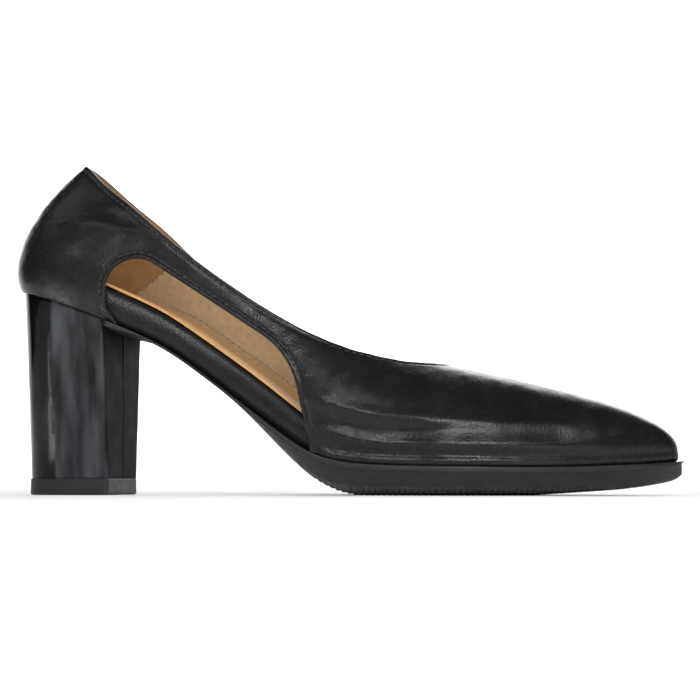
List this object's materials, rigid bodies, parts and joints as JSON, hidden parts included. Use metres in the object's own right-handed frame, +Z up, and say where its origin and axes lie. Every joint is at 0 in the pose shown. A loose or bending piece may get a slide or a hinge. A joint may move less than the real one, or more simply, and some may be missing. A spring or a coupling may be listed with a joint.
{
  "type": "block heel court shoe",
  "caption": "Left closed-toe court shoe with a block heel and an open arch cut in its inner side, for walking and dress wear.",
  "frame": {"origin": "middle of the shoe's box, on the floor it stands on", "axes": "+X from the heel to the toe, +Y to the outer side of the foot, +Z up"},
  "size_m": [0.2422, 0.0784, 0.123],
  "materials": {
    "upper": "smooth satin leather",
    "insole": "fine grained leather wrap",
    "sock_lining": "matt tan leather",
    "outsole": "satin ribbed rubber",
    "heel": "high gloss film",
    "top_lift": "matt rubber"
  },
  "bodies": {
    "root": {"upper": "upper", "insole": "insole", "sock_lining": "sock_lining", "outsole": "outsole", "heel": "heel", "top_lift": "top_lift"}
  },
  "joints": []
}
